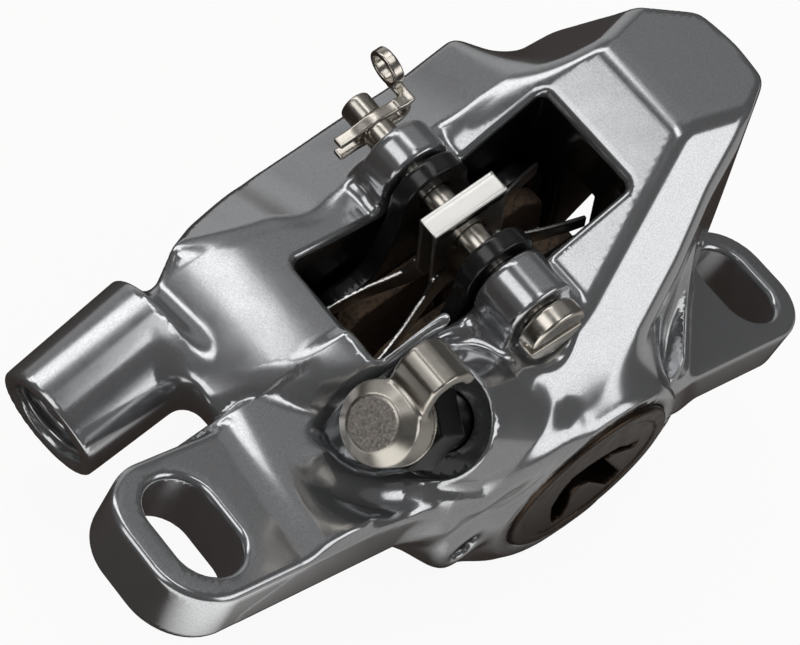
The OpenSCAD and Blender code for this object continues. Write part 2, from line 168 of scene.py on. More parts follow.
def blurred(grid, sigma):
    """Gaussian blur of a flat grid; sigma in grid steps."""
    reach = int(3 * sigma + 1)
    kernel = np.exp(-0.5 * (np.arange(-reach, reach + 1) / sigma) ** 2)
    kernel /= kernel.sum()
    for _ in range(2):
        wide = np.pad(grid, ((reach, reach), (0, 0)), mode="edge")
        grid = sum(k * wide[i : i + len(grid)] for i, k in enumerate(kernel)).T
    return grid


class Outline:
    """A flat outline with softened corners, kept as distances on a fine grid."""

    def __init__(self, points, softness, pitch=0.25, margin=14):
        pts = np.array(points, float)
        self.low = pts.min(0) - margin
        self.pitch = pitch
        count = np.ceil((pts.max(0) + margin - self.low) / pitch).astype(int) + 1
        axes = [self.low[i] + pitch * np.arange(count[i]) for i in (0, 1)]
        gx, gy = np.meshgrid(*axes, indexing="ij")
        self.grid = blurred(polygon_field(gx, gy, pts), softness / pitch)

    def __call__(self, x, y):
        g = self.grid
        fx = np.clip((x - self.low[0]) / self.pitch, 0, g.shape[0] - 2.001)
        fy = np.clip((y - self.low[1]) / self.pitch, 0, g.shape[1] - 2.001)
        i, j = fx.astype(int), fy.astype(int)
        fx, fy = fx - i, fy - j
        lower = g[i, j] * (1 - fx) + g[i + 1, j] * fx
        upper = g[i, j + 1] * (1 - fx) + g[i + 1, j + 1] * fx
        return lower * (1 - fy) + upper * fy


def axial(q, point, axis):
    """Distance along an axis and from it."""
    t = facet(q, axis, point)
    square = sum((q[i] - point[i]) ** 2 for i in range(3))
    return t, np.sqrt(np.maximum(square - t * t, 0))


def bar(q, point, axis, r, low, high, edge):
    """Round bar along an axis through a point, from low to high on it."""
    return cone(q, point, axis, r, r, low, high, edge)


def cone(q, point, axis, ra, rb, low, high, edge):
    """Round bar whose radius runs from ra at low to rb at high."""
    t, rr = axial(q, point, axis)
    k = (rb - ra) / (high - low)
    side = (rr - (ra + k * (np.clip(t, low - 3, high + 3) - low))) / math.sqrt(1 + k * k)
    return round_max(side, between(t, low, high), edge)


def block(q, low, high, edge):
    """Box between two corners."""
    d = [between(q[i], low[i], high[i]) for i in range(3)]
    return round_max(round_max(d[0], d[1], edge), d[2], edge)


def leaning(p):
    """Row frame to the frame of the pads: along the lean, across it, and up out of it."""
    return (p[0] * LEAN_COS + p[2] * LEAN_SIN, p[1], p[2] * LEAN_COS - p[0] * LEAN_SIN)


def from_axle(p):
    """Row frame to places measured from the pad axle, along, across and out of the lean."""
    u, y, w = leaning(p)
    return u - PAD_U, y, w - AXLE_W


# ---------------- meshing
def add_object(name, data):
    obj = bpy.data.objects.new(name, data)
    bpy.context.scene.collection.objects.link(obj)
    return obj


def surface_net(values, low, pitch):
    """One point in each grid cell that the surface crosses, joined by quads."""
    inside = values < 0
    nx, ny, nz = values.shape
    corners = [(i, j, k) for i in (0, 1) for j in (0, 1) for k in (0, 1)]
    count = sum(inside[i : nx - 1 + i, j : ny - 1 + j, k : nz - 1 + k].astype(np.int8)
                for i, j, k in corners)
    mixed = (count > 0) & (count < 8)
    index = np.full(mixed.shape, -1, np.int64)
    cells = np.argwhere(mixed)
    index[mixed] = np.arange(len(cells))
    at = {c: values[tuple((cells + c).T)] for c in corners}
    total = np.zeros((len(cells), 3))
    hits = np.zeros(len(cells))
    for a in corners:
        for axis in range(3):
            if a[axis]:
                continue
            b = tuple(1 if i == axis else a[i] for i in range(3))
            crossed = (at[a] < 0) != (at[b] < 0)
            t = np.where(crossed, at[a] / np.where(crossed, at[a] - at[b], 1), 0)
            total += crossed[:, None] * np.array(a)
            total[:, axis] += crossed * t
            hits += crossed
    points = low + pitch * (cells + total / hits[:, None])
    quads = []
    for axis in range(3):
        one, two = np.delete(np.eye(3, dtype=int), axis, 0)
        ends = [[slice(1, -1)] * 3, [slice(1, -1)] * 3]
        ends[0][axis], ends[1][axis] = slice(0, -1), slice(1, None)
        a, b = (inside[tuple(end)] for end in ends)
        keep = a[a != b] ^ (axis == 1)
        edge = np.argwhere(a != b) + one + two
        around = (one + two, two, 0 * one, one)
        quad = np.stack([index[tuple((edge - k).T)] for k in around], 1)
        quad[~keep] = quad[~keep][:, ::-1]
        quads.append(quad)
    return points, np.concatenate(quads)


def slope(field, p, step=0.02):
    """Central differences of a field."""
    ahead = step * np.eye(3)[:, :, None]
    return np.array([(field(p + d) - field(p - d)) / (2 * step) for d in ahead])


def unit_slope(field, p):
    g = slope(field, p)
    return g / np.maximum(np.sqrt((g * g).sum(0)), 1e-9)


def shortened(move, reach):
    """Moves cut down to a reach where they are longer."""
    length = np.sqrt((move * move).sum(0))
    return move * np.minimum(1, reach / np.maximum(length, 1e-9))


def settled(field, p, pitch, rounds):
    """Points moved along the field's slope until they lie on its surface."""
    for _ in range(rounds):
        f = field(p)
        g = slope(field, p)
        p = p + shortened(-f * g / np.maximum((g * g).sum(0), 0.2), 0.5 * pitch)
    return p


def drawn_to_edges(p, n, quads, pitch, hold=0.15):
    """Points moved to where the planes of their neighbours meet, so that edges run clean."""
    ends = np.concatenate([quads, np.roll(quads, 1, 1)]).reshape(-1)
    near = np.concatenate([np.roll(quads, -1, 1), quads]).reshape(-1)
    count = p.shape[1]
    plane = (n * p).sum(0)
    square = np.zeros((count, 3, 3))
    right = np.zeros((count, 3))
    for i in range(3):
        right[:, i] = np.bincount(ends, (n[i] * plane)[near], count) + hold * p[i]
        for j in range(3):
            square[:, i, j] = np.bincount(ends, (n[i] * n[j])[near], count)
        square[:, i, i] += hold
    move = np.linalg.solve(square, right[:, :, None])[:, :, 0].T - p
    return p + shortened(move, 0.4 * pitch)


def field_mesh(name, field, low, high, pitch):
    """Closed mesh of a field's zero level, with its points settled onto the exact surface."""
    low = np.array(low, float)
    count = np.ceil((np.array(high, float) - low) / pitch).astype(int) + 1
    axes = [low[i] + pitch * np.arange(count[i]) for i in range(3)]
    values = np.empty(count)
    slab = 24  # the grid is filled in slabs, to save memory
    for i in range(0, count[0], slab):
        grid = np.meshgrid(axes[0][i : i + slab], axes[1], axes[2], indexing="ij")
        values[i : i + slab] = field(grid)
    points, quads = surface_net(values, low, pitch)
    p = settled(field, points.T.copy(), pitch, 3)
    for _ in range(2):
        p = settled(field, drawn_to_edges(p, unit_slope(field, p), quads, pitch), pitch, 2)
    normals = unit_slope(field, p).T
    mesh = bpy.data.meshes.new(name)
    mesh.from_pydata((p.T * MM).tolist(), [], quads.tolist())
    mesh.polygons.foreach_set("use_smooth", np.ones(len(quads), bool))
    mesh.normals_split_custom_set_from_vertices(normals.tolist())
    mesh.update()
    return add_object(name, mesh)


# ---------------- finishes
def node(tree, kind, inputs=None, **settings):
    """A new node; its inputs are filled with sockets or plain values."""
    made = tree.nodes.new(kind)
    for key, value in settings.items():
        setattr(made, key, value)
    for key, value in (inputs or {}).items():
        if isinstance(value, bpy.types.NodeSocket):
            tree.links.new(value, made.inputs[key])
        else:
            made.inputs[key].default_value = value
    return made


def node_math(tree, operation, a, b):
    return node(tree, "ShaderNodeMath", {0: a, 1: b}, operation=operation).outputs[0]


def emptied(owner):
    """The node tree of a material or a world, without its nodes."""
    owner.use_nodes = True
    owner.node_tree.nodes.clear()
    return owner.node_tree


def start_material(name, base, metallic, roughness):
    """A material whose plain values sit on the shader's own sockets."""
    mat = bpy.data.materials.get(name) or bpy.data.materials.new(name)
    tree = emptied(mat)
    shader = node(tree, "ShaderNodeBsdfPrincipled",
                  {"Base Color": (*base, 1), "Metallic": metallic, "Roughness": roughness})
    node(tree, "ShaderNodeOutputMaterial", {0: shader.outputs[0]})
    return mat, tree, shader, tree.nodes.new("ShaderNodeTexCoord").outputs["Object"]


def grain(tree, place, scale, detail=2.0, stretch=None):
    """Noise over the object's own coordinates; scale is in features per metre."""
    if stretch:
        place = node(tree, "ShaderNodeMapping", {"Vector": place, "Scale": stretch}).outputs[0]
    noise = node(tree, "ShaderNodeTexNoise", {"Vector": place, "Scale": scale, "Detail": detail})
    return noise.outputs["Fac"]


def spread(tree, value, low, high, from_low=0.3, from_high=0.7):
    """Value mapped from one range to another; the first fits what a grain gives."""
    return node(tree, "ShaderNodeMapRange", {
        "Value": value, "From Min": from_low, "From Max": from_high, "To Min": low, "To Max": high,
    }).outputs[0]


def mixed_colour(tree, factor, a, b):
    first, second = ((*c, 1) if isinstance(c, tuple) else c for c in (a, b))
    return node(tree, "ShaderNodeMix", {0: factor, 6: first, 7: second}, data_type="RGBA").outputs[2]


def add_bump(tree, shader, height, strength, distance):
    bump = node(tree, "ShaderNodeBump", {"Strength": strength, "Distance": distance, "Height": height})
    tree.links.new(bump.outputs[0], shader.inputs["Normal"])


def times(colour, share):
    return tuple(min(1.0, c * share) for c in colour)


def grained(start, speck, colours, rough_ends, bump, contrast=None):
    """Lets one speckle, or a grain of these measures, drive a started material's looks."""
    mat, tree, shader, place = start
    if isinstance(speck, tuple):
        speck = grain(tree, place, *speck)
    factor = spread(tree, speck, 0, 1, *contrast) if contrast else speck
    tree.links.new(mixed_colour(tree, factor, *colours), shader.inputs["Base Color"])
    tree.links.new(spread(tree, speck, *rough_ends), shader.inputs["Roughness"])
    add_bump(tree, shader, speck, *bump)
    return mat


def flake_paint(look):
    """Satin metallic grey paint: fine flake, soft orange peel and a thin clear coat, with painted
    shade in the window, the slot and the bores.
    """
    base = tuple(look.paint)
    rough = look.paint_rough
    mat, tree, shader, place = start_material("Metallic grey paint", base, 0.9, rough)
    flake = spread(tree, grain(tree, place, 7500, 1.0), 0, 1)
    colour = mixed_colour(tree, flake, times(base, 0.9), times(base, 1.1))
    # painted shade: the walls of the window, the slot and the bores are painted near black, without
    # clear coat, where the casting's inside attribute says so
    inside = node(tree, "ShaderNodeAttribute", attribute_name="inside")
    painted_shade_mask = spread(tree, inside.outputs["Fac"], 0, 1, 0.0, 0.12)
    # near-black painted shade colour with a faint streaky grain
    painted_shade_colour = mixed_colour(tree, grain(tree, place, 1500, 2.0, (1, 1, 4)),
                          (0.022, 0.022, 0.023), (0.045, 0.044, 0.043))
    tree.links.new(mixed_colour(tree, painted_shade_mask, colour, painted_shade_colour), shader.inputs["Base Color"])
    peel = spread(tree, grain(tree, place, 500), rough - 0.02, rough + 0.02)
    tree.links.new(peel, shader.inputs["Roughness"])
    tree.links.new(spread(tree, painted_shade_mask, 0.5, 0.0, 0, 1), shader.inputs["Coat Weight"])
    shader.inputs["Coat Roughness"].default_value = 0.03
    add_bump(tree, shader, grain(tree, place, 420, 1.0), 0.05, 0.00002)
    return mat


def anodised(look):
    """Dark anodised aluminium with fine turning marks."""
    base = tuple(look.anodised)
    return grained(start_material("Dark anodised aluminium", base, 0.9, 0.3), (900, 2.0, (1, 6, 1)),
                   (times(base, 0.7), times(base, 1.5)), (0.24, 0.4), (0.08, 0.00003))


def satin_metal(name, base, rough, scale=2600):
    """Bare satin metal with a faint speckle."""
    return grained(start_material(name, base, 1.0, rough), (scale,),
                   (times(base, 0.93), times(base, 1.07)), (rough - 0.02, rough + 0.03),
                   (0.012, 0.00001))


def grit_metal(name, base, rough):
    """Coarse cast end face, mottled light and dark."""
    return grained(start_material(name, base, 0.7, rough), (4200, 6.0),
                   (times(base, 0.7), times(base, 1.3)), (rough - 0.1, rough + 0.1),
                   (0.25, 0.00004), (0.3, 0.7))


def black_coat():
    """Glossy black coating of the pad plates."""
    start = start_material("Black plate coating", (0.010, 0.010, 0.011), 0.0, 0.2)
    return grained(start, (3000, 3.0), ((0.006, 0.006, 0.007), (0.012, 0.012, 0.011)),
                   (0.16, 0.24), (0.05, 0.00002))


def friction_compound():
    """Pressed friction block: brown ground with paler chips."""
    start = start_material("Friction compound", (0.06, 0.045, 0.035), 0.0, 0.8)
    _, tree, _, place = start
    chips = node(tree, "ShaderNodeTexVoronoi", {"Scale": 2400, "Vector": place}).outputs["Distance"]
    return grained(start, chips, ((0.03, 0.022, 0.017), (0.14, 0.09, 0.055)), (0.65, 0.9),
                   (0.5, 0.0001), (0.1, 0.6))


def seal_rubber():
    """Matt black rubber."""
    start = start_material("Seal rubber", (0.015, 0.015, 0.015), 0.0, 0.55)
    return grained(start, (1800,), ((0.01, 0.01, 0.01), (0.028, 0.027, 0.026)), (0.45, 0.65),
                   (0.1, 0.00003))


# ---------------- the caliper casting
PLAN_POINTS = [
    (38.1, 10), (37.3, 5.4), (31.2, 2.1), (26.5, 0.2), (20.7, -2.8), (15.6, -5), (10.6, -7.1),
    (7.4, -8.6), (-10, -8.6), (-16, -4), (-17.6, 7.6), (-21.4, 7.7), (-22, 18.6), (-16.5, 21.8),
    (-12.6, 24.2), (-8.5, 25.8), (-3.5, 27.4), (19.9, 27.4), (21.2, 24), (27.3, 22.8),
    (31.2, 18.4), (37.3, 14.6),
]
SIDE_POINTS = [
    (-60, 14.6), (-22.6, 14.6), (-15.1, 6), (-9.1, -2), (-3, -10.6), (13.9, -12.5),
    (25.9, -14.4), (32.3, -12), (36.6, 4.3), (38.1, 15.9), (38.1, 60), (-60, 60),
]


def top_field(q):
    """Both decks, the ridge beside the left one, the inboard shoulder and the nose's fall."""
    left = facet(q, (0.292, 0, 0.956), (-7.9, 0, 18.2))
    right = facet(q, (-0.292, 0, 0.956), (19.9, 0, 18.2))
    end = facet(q, (-0.174, 0, 0.985), (-14.6, 0, 20.1))
    nose = facet(q, (0.342, 0, 0.94), (26.4, 0, 20.15))
    decks = round_min(left, right, 3)
    top = round_max(round_max(decks, end, 3.2), nose, 0.8)
    shoulder = round_max(soft_max(end, nose, 1), facet(q, (0, -0.766, 0.643), (0, 19.4, 16.25)), 1.0)
    return round_min(top, shoulder, 1.2)


def inboard_field(q):
    """The four inboard facets, run softly into one another along the lean."""
    u, y, w = q
    tail = 19.3 - 0.3925 * (u + 11.8) - 0.65 * (y - 21)
    flat = 16.2 - 0.577 * (y - 19.4)
    hump = 16 + 0.171 * (u - 12.8) - 0.536 * (y - 19.2)
    nose = 20.1 - 1.203 * (y - 15.8)
    a = ramp(u, -7, -1)
    b = ramp(u, 9, 16)
    c = ramp(u, 18.2, 24.5)
    height = ((tail * (1 - a) + flat * a) * (1 - b) + hump * b) * (1 - c) + nose * c
    return (w - height) * 0.82


def bore_distance(q):
    return np.hypot(q[0] - PAD_U, q[2] - PISTON_W)


def rotor_distance(q):
    """Signed distance to the cylinder that the rotor's rim needs."""
    return np.hypot(q[0] - PAD_U, q[2] - ROTOR_W) - ROTOR_R


# the lettered slope and the slope over the nipple, in the leaning frame: normal and a point
LETTERED = ((0.117, -0.753, 0.648), (12.2, -1.4, 15.8))
LEFT_SIDE = ((-0.22, -0.58, 0.79), (-7.1, 2.7, 17.9))

# middle line of the ridge that runs below the nipple boss, in the row frame
SWOOSH_POINTS = (
    (-22.9, 0.6, 5.5), (-22.2, -0.6, 5), (-21, -2, 4.6), (-19.1, -3.2, 4.4),
    (-16.7, -4, 4.3), (-14.8, -4.9, 4.7), (-12.6, -6.2, 5.1), (-10, -7.3, 5.5),
    (-8.3, -7.5, 6.9), (-6.4, -7.5, 7.9), (-4.1, -7.5, 8.8), (-2, -7.4, 10),
)


def ridge_line(p, points, r):
    """Distance to a round bar of radius r along a line of points."""
    best = np.inf
    for a, b in zip(points[:-1], points[1:]):
        run = [b[i] - a[i] for i in range(3)]
        t = sum((p[i] - a[i]) * run[i] for i in range(3)) / sum(v * v for v in run)
        t = np.clip(t, 0, 1)
        d = np.sqrt(sum((p[i] - a[i] - t * run[i]) ** 2 for i in range(3))) - r
        best = np.minimum(best, d)
    return best


def main_block(q, plan, side):
    """The casting's block between its facets."""
    u, y, w = q
    d = round_max(plan(u, y), side(u, w), 0.8)
    d = round_max(d, inboard_field(q), 0.7)
    d = round_max(d, top_field(q), 1.0)
    d = round_max(d, facet(q, *LETTERED), 0.9)
    d = round_max(d, facet(q, *LEFT_SIDE), 0.9)
    left_end = facet(q, (-0.425, -0.057, 0.904), (-12.8, 7.8, 19.6)) - 8 * ramp(y, 7.2, 8.2)
    d = round_max(d, left_end, 1.0)
    d = round_max(d, facet(q, (0.577, -0.815, -0.055), (31.2, 2.1, 0)), 1)
    d = round_max(d, facet(q, (0.663, -0.732, -0.157), (27.3, -0.4, -9.2)), 1)
    return cut(d, round_max(facet(q, (-0.574, 0, 0.819), (23.5, 0, -3)), 10 - y, 0.5), 0.5)


def with_housings(d, q):
    """Adds the housings of the two bores."""
    y = q[1]
    near = cone(q, BORE_CENTRE, ALONG_Y, 10.6, HOUSING_R, RING_FACE, 0.1, 0.1)
    near = round_max(near, RING_FACE - y, 0.9)
    near = np.minimum(near, bar(q, BORE_CENTRE, ALONG_Y, HOUSING_R, -0.4, NEAR_WALL, 0.1))
    d = round_min(d, near, 2.6)
    far = round_max(bar(q, BORE_CENTRE, ALONG_Y, HOUSING_R, FAR_WALL, 27.3, 0.6),
                    (bore_distance(q) - 12.3) * 0.69 + (y - 26.15) * 0.72, 2.0)
    return round_min(d, far, 2.0)


def with_tabs(d, p, q):
    """Adds the two mounting tabs, the steps at the root of one and the flare at the other's."""
    x, y, z = p
    ax = np.abs(x) - (TAB_END - TAB_CORNER)
    ay = np.abs(y) - (TAB_HALF - TAB_CORNER)
    flat = np.hypot(np.maximum(ax, 0), np.maximum(ay, 0)) - TAB_CORNER
    flat = flat + np.minimum(np.maximum(ax, ay), 0)
    d = round_min(d, round_max(flat, between(z, 0, TAB_TOP), 0.75), 2.0)
    rise = round_max(facet(p, (-0.5, 0.059, 0.866), (-29.2, 0.5, 5.6)),
                     facet(p, (-0.16, 0, 0.987), (-27.6, 0, 6.6)) + 0.02 * (7.7 - y), 0.5)
    rise = round_max(rise, np.maximum(-z, between(x, -36, -15)), 0.5)
    d = round_min(d, round_max(rise, between(y, -6.7, 7.9), 0.6), 0.5)
    steep = round_max(facet(p, (-0.55, 0, 0.835), (-25.3, 0, 6.9)), np.maximum(-z, x + 10), 0.5)
    steep = round_max(steep, between(y, -6.4, 8), 0.8)
    d = round_min(d, round_max(steep, facet(q, *LEFT_SIDE), 1.5), 0.9)
    flare = round_max(facet(q, (0.730, -0.674, 0.114), (27.3, -0.4, -9.2)),
                      facet(q, *LETTERED), 1.0)
    flare = round_max(flare, between(y, -7, 2), 0.8)
    flare = round_max(flare, np.maximum(between(x, 17.5, 31), -z), 0.5)
    return round_min(d, flare, 1.5)


def with_bosses(d, p, q):
    """Adds the bosses of axle, nipple, drilled ear and hose port, and the nipple's hollow."""
    for low, high in ((-1.1, 4.3), (15.7, 19.6)):
        boss = bar(q, (PAD_U, 0, AXLE_W), ALONG_Y, BOSS_R, low, high, 0.6)
        web = block(q, (2.3, low + 0.5, 8), (9.5, high - 0.2, AXLE_W), 0.5)
        d = round_min(d, round_min(boss, web, 0.4), 1.8)
    hollow = bar(p, NIPPLE_POINT, NIPPLE_AXIS, 8.0, -17.0, 3, 2.5)
    hollow = round_max(hollow, round_max(p[1] - 3.2, 4.6 + 0.12 * (p[0] + 15) - p[2], 2.0), 1.5)
    d = cut(d, hollow, 1.3)
    d = round_min(d, ridge_line(p, SWOOSH_POINTS, 1.9), 1.5)
    d = round_min(d, cone(p, NIPPLE_POINT, NIPPLE_AXIS, 7.4, 5.2, -21, -11.9, 0.5), 0.9)
    d = round_min(d, bar(q, EAR_CENTRE, ALONG_Y, EAR_R, -8.8, 0, 0.8), 2.2)
    return round_min(d, cone(p, PORT_POINT, PORT_AXIS, 5.9, 5.4, -12.5, 0, 0.4), 2.2)


def with_openings(d, p, q):
    """Cuts the window, the rotor slot, the bores, all drillings and the slots of the tabs."""
    u, y, w = q
    d = cut(d, round_max(between(u, *WINDOW_U), between(y, NEAR_WALL, FAR_WALL), 0.8), 0.8)
    d = cut(d, np.maximum(rotor_distance(q), np.abs(y - ROTOR_Y) - ROTOR_GAP), 0.3)
    bore = bore_distance(q)
    d = cut(d, np.maximum(bore - BORE_R, between(y, -5.2, 25.2)), 0.2)
    d = cut(d, np.maximum(bore - CAP_BORE_R, between(y, -12, -5)), 0.35)
    hole = np.hypot(u - PAD_U, w - AXLE_W)
    d = cut(d, np.maximum(hole - AXLE_HOLE_R, between(y, -9, 28)), 0.2)
    d = cut(d, np.maximum(hole - HEAD_SEAT_R, y + 0.7), 0.4)
    d = cut(d, bar(p, NIPPLE_POINT, NIPPLE_AXIS, NIPPLE_POCKET_R, -13.6, 3, 0.2), 0.45)
    d = cut(d, bar(p, NIPPLE_POINT, NIPPLE_AXIS, NIPPLE_HOLE_R, -21, 0, 0.1), 0.2)
    d = cut(d, bar(p, PORT_POINT, PORT_AXIS, PORT_BORE_R, -11, 2, 0.1), 0.5)
    d = cut(d, bar(q, EAR_CENTRE, ALONG_Y, EAR_HOLE_R, -12, -4.6, 0.2), 0.4)
    slot = np.hypot(np.abs(p[0]) - POST_X, np.maximum(np.abs(y) - SLOT_HALF, 0)) - SLOT_R
    return cut(d, slot, 0.65)


def casting_field(plan, side):
    def field(p):
        q = leaning(p)
        d = with_housings(main_block(q, plan, side), q)
        return with_openings(with_bosses(with_tabs(d, p, q), p, q), p, q)

    return field


def dark_depth(q):
    """How deep a point lies in the window, the rotor slot or a bore, each a little widened; the paint
    darkens these places as painted shade.
    """
    u, y, _ = q
    window = np.maximum(between(u, *WINDOW_U), between(y, NEAR_WALL, FAR_WALL)) - 0.25
    window = np.maximum(window, top_field(q) + 0.55)
    rotor = np.maximum(np.abs(y - ROTOR_Y) - 2.5, rotor_distance(q) + 0.4)
    bores = np.maximum(bore_distance(q) - 10.3, between(y, -5, 25.3))
    return -np.minimum(np.minimum(window, rotor), bores)


# ---------------- fields of the small pieces
KEY_POINTS = [
    (5.1, 3), (3.1, 3.1), (1.6, 3.7), (-1, 3.2), (-2.3, 2.7), (-3.6, 1.9), (-3.8, 0),
    (-3.2, -2.7), (-1.8, -4.8), (-0.2, -6.8), (0.8, -6.7), (0.4, -4.7), (-0.9, -2.2),
    (-0.7, -0.9), (1, -1.2), (3.2, -2.5), (5.4, -3.8), (6.4, -3.7), (6.3, -2.3), (3.1, 0.3),
    (0.8, 2.2), (1.6, 2.7), (5.1, 2),
]


def bore_cap_field():
    key = Outline(KEY_POINTS, 0.12, 0.1, 6)
    cx = PAD_U * LEAN_COS - PISTON_W * LEAN_SIN
    cz = PAD_U * LEAN_SIN + PISTON_W * LEAN_COS

    def field(p):
        r = bore_distance(leaning(p))
        y = p[1]
        d = round_max(r - 9.1, between(y, -10.1, -5.8), 0.45)
        d = cut(d, np.maximum(r - 7.6, y + 9.95), 0.12)
        d = cut(d, np.maximum(key(p[0] - cx, p[2] - cz), y + 7.6), 0.22)
        return cut(d, np.maximum(8.3 - r, np.abs(y + 6.7) - 0.8), 0.1)

    return field


def axle_field(p):
    x, y, z = from_axle(p)
    r = np.hypot(x, z)
    d = round_max(r - AXLE_R, between(y, -1.3, 25.0), 0.3)
    d = np.minimum(d, round_max(r - AXLE_HEAD_R, between(y, -3.1, -1.2), 0.35))
    slot_turn = math.radians(8)
    across = z * math.cos(slot_turn) + x * math.sin(slot_turn)
    d = cut(d, np.maximum(np.abs(across) - 0.45, y + 2.1), 0.12)
    return cut(d, np.maximum(1.0 - r, np.abs(y - CLIP_Y) - 0.6), 0.08)


def clip_field(p):
    u, y, w = leaning(p)
    du = u - PAD_U
    dw = w - AXLE_W
    bow = 0.5 * np.cos(np.clip((du + 0.1) / 2.4, -1, 1) * math.pi / 2) ** 2 - 0.3
    arm = np.abs(np.abs(dw) - 1.2 - bow * 0.6) - 0.27
    arm = round_max(arm, between(du, -4.0, 2.6), 0.2)
    bend = round_max(np.abs(np.hypot(du - 2.5, dw) - 1.05) - 0.27, 2.4 - du, 0.2)
    hairpin = round_max(soft_min(arm, bend, 0.3), np.abs(y - CLIP_Y) - 0.55, 0.18)
    ring = round_max(np.abs(np.hypot(y - 25.1, w - 19.9) - 1.6) - 0.25, np.abs(u - 9.65) - 0.55, 0.2)
    neck = block((u, y, w), (9.1, 21.7, 18.15), (10.2, 24.4, 18.7), 0.2)
    return soft_min(soft_min(hairpin, neck, 0.5), ring, 0.5)


def nipple_place(p):
    """Row frame to the bleed nipple's own: across, along Y, and out of its end."""
    c, s = math.cos(NIPPLE_LEAN), math.sin(NIPPLE_LEAN)
    dx = p[0] - NIPPLE_POINT[0]
    dz = p[2] - NIPPLE_POINT[2]
    return (dx * c - dz * s, p[1] - NIPPLE_POINT[1], dx * s + dz * c)


def nipple_field(p):
    x, y, z = nipple_place(p)
    r = np.hypot(x, y)
    flats = np.maximum(np.abs(y), np.abs(y) * 0.5 + np.abs(x) * 0.8660254)
    hexagon = round_max(flats - 3.5, between(z, -9.4, -4.8), 0.15)
    hexagon = round_max(hexagon, (r * 0.5 + z * 0.866) - (3.9 * 0.5 - 4.8 * 0.866), 0.2)
    d = soft_min(hexagon, round_max(r - 2.6, between(z, -20.9, -7.5), 0.6), 0.4)
    d = np.minimum(d, round_max(r - 1.9, between(z, -6, -1.4), 0.3))
    return cut(d, np.maximum(r - 0.7, -18 - z), 0.1)


def bleed_cap_field():
    tab = Outline(
        [(2.8, -1.7), (4.2, -0.6), (5.4, 0), (6.6, -0.2), (7.6, -1.2), (8, -2.8), (7.5, -5),
         (6.5, -4.8), (6.9, -3), (6.5, -1.8), (5.5, -1.3), (4.4, -1.9), (2.8, -3)], 0.22, 0.1, 8)

    def field(p):
        x, y, z = nipple_place(p)
        r = np.hypot(x, y)
        d = round_max(r - 3.6, np.maximum(-4.75 - z, z), 0.25)
        d = round_max(d, (r * 0.68 + z * 0.733) - (2.3 * 0.68), 0.18)
        d = cut(d, np.maximum(3.42 - r, np.abs(z + 4.15) - 0.12), 0.06)
        hook = round_max(tab(x, z), np.abs(y) - 2.1, 0.3)
        d = round_min(d, np.maximum(hook, 2.2 - r), 0.5)
        return cut(d, np.maximum(r - 1.94, z + 1.2), 0.1)

    return field


def plate_field(y0):
    h = 13.6
    body = Outline(
        [(-6.5, 10.2), (6.5, 10.2), (h - 3, 10.2), (h, 7.2), (h, -6), (8, -11.6), (-8, -11.6),
         (-h, -6), (-h, 7.2), (3 - h, 10.2)], 0.5, 0.2, 6)
    neck = Outline([(-3.3, 18.6), (3.3, 18.6), (6.5, 9.7), (-6.5, 9.7)], 0.2, 0.2, 16)

    def field(p):
        u, y, w = leaning(p)
        x = u - PAD_U
        z = w - PISTON_W
        ear = np.hypot(x, w - AXLE_W)
        flat = round_min(round_min(body(x, z), neck(x, z), 1.5), ear - PLATE_EAR_R, 0.5)
        flat = round_max(flat, AXLE_HOLE_R - ear, 0.2)
        return round_max(flat, between(y, y0, y0 + PLATE_T), 0.22)

    return field


def lining_field(y0, y1):
    shape = Outline(
        [(-11.8, 7), (-9.3, 9.5), (9.3, 9.5), (11.8, 7), (11.8, -4.75), (6.9, -9.5), (-6.9, -9.5),
         (-11.8, -4.75)], 0.4, 0.2, 6)

    def field(p):
        u, y, w = leaning(p)
        flat = shape(u - PAD_U, w - PISTON_W)
        flat = round_max(flat, 0.5 - np.abs(u - PAD_U), 0.25)
        return round_max(flat, between(y, y0, y1), 0.25)

    return field


LEG_X = [2.1, 3.9, 5, 7.7, 9.7, 12]
LEG_TOP = [-3.2, -3.8, -5.3, -5.9, -6.4, -7.1]
LEG_LOW = [-7.3, -7.7, -7.8, -8.0, -8.3, -8.8]


def spring_half_field(side):
    """The leaf and the two curved legs on one side of the rotor; side is -1 or 1."""

    def field(p):
        x, y, z = from_axle(p)
        x = np.abs(x)
        out = (y - ROTOR_Y) * side
        leaf = np.maximum(x - 3.9 + 0.35 * np.maximum(-z - 4.8, 0), between(z, -7.3, 3.95))
        leaf = round_max(leaf, 1.7 - np.hypot(x, z), 0.1)
        leaf = round_max(leaf, np.abs(out - 0.9) - 0.2, 0.12)
        middle = np.interp(x, [2, 4, 6, 8, 10, 12], [0.9, 1.25, 1.85, 2.5, 3.0, 3.38])
        tall = np.maximum(z - np.interp(x, LEG_X, LEG_TOP), np.interp(x, LEG_X, LEG_LOW) - z)
        leg = round_max(np.maximum(tall * 0.9, between(x, 2.2, 12)),
                        np.abs(out - middle) * 0.96 - 0.2, 0.12)
        return soft_min(leaf, leg, 0.15)

    return field


def spring_bridge_field(p):
    x, y, z = from_axle(p)
    out = np.abs(y - ROTOR_Y)
    outer = round_max(out - 1.1, z - 3.95, 0.45)
    inner = round_max(out - 0.7, z - 3.55, 0.2)
    return round_max(cut(outer, inner, 0.08), np.maximum(np.abs(x) - 3.9, 2.6 - z), 0.1)


# ---------------- user settings
class CaliperCastingSettings(bpy.types.PropertyGroup):
    pitch: FloatProperty(
        name="Casting mesh pitch", description="Spacing of the casting's mesh points",
        default=0.00041, min=0.0003, max=0.001, unit="LENGTH", precision=5)
    small_pitch: FloatProperty(
        name="Small piece pitch", description="Spacing of mesh points on the small pieces",
        default=0.00018, min=0.0001, max=0.0005, unit="LENGTH", precision=5)
    thread_pitch: FloatProperty(
        name="Hose thread pitch", description="Rise of the hose port's thread in one turn",
        default=0.001, min=0.0005, max=0.002, unit="LENGTH", precision=5)


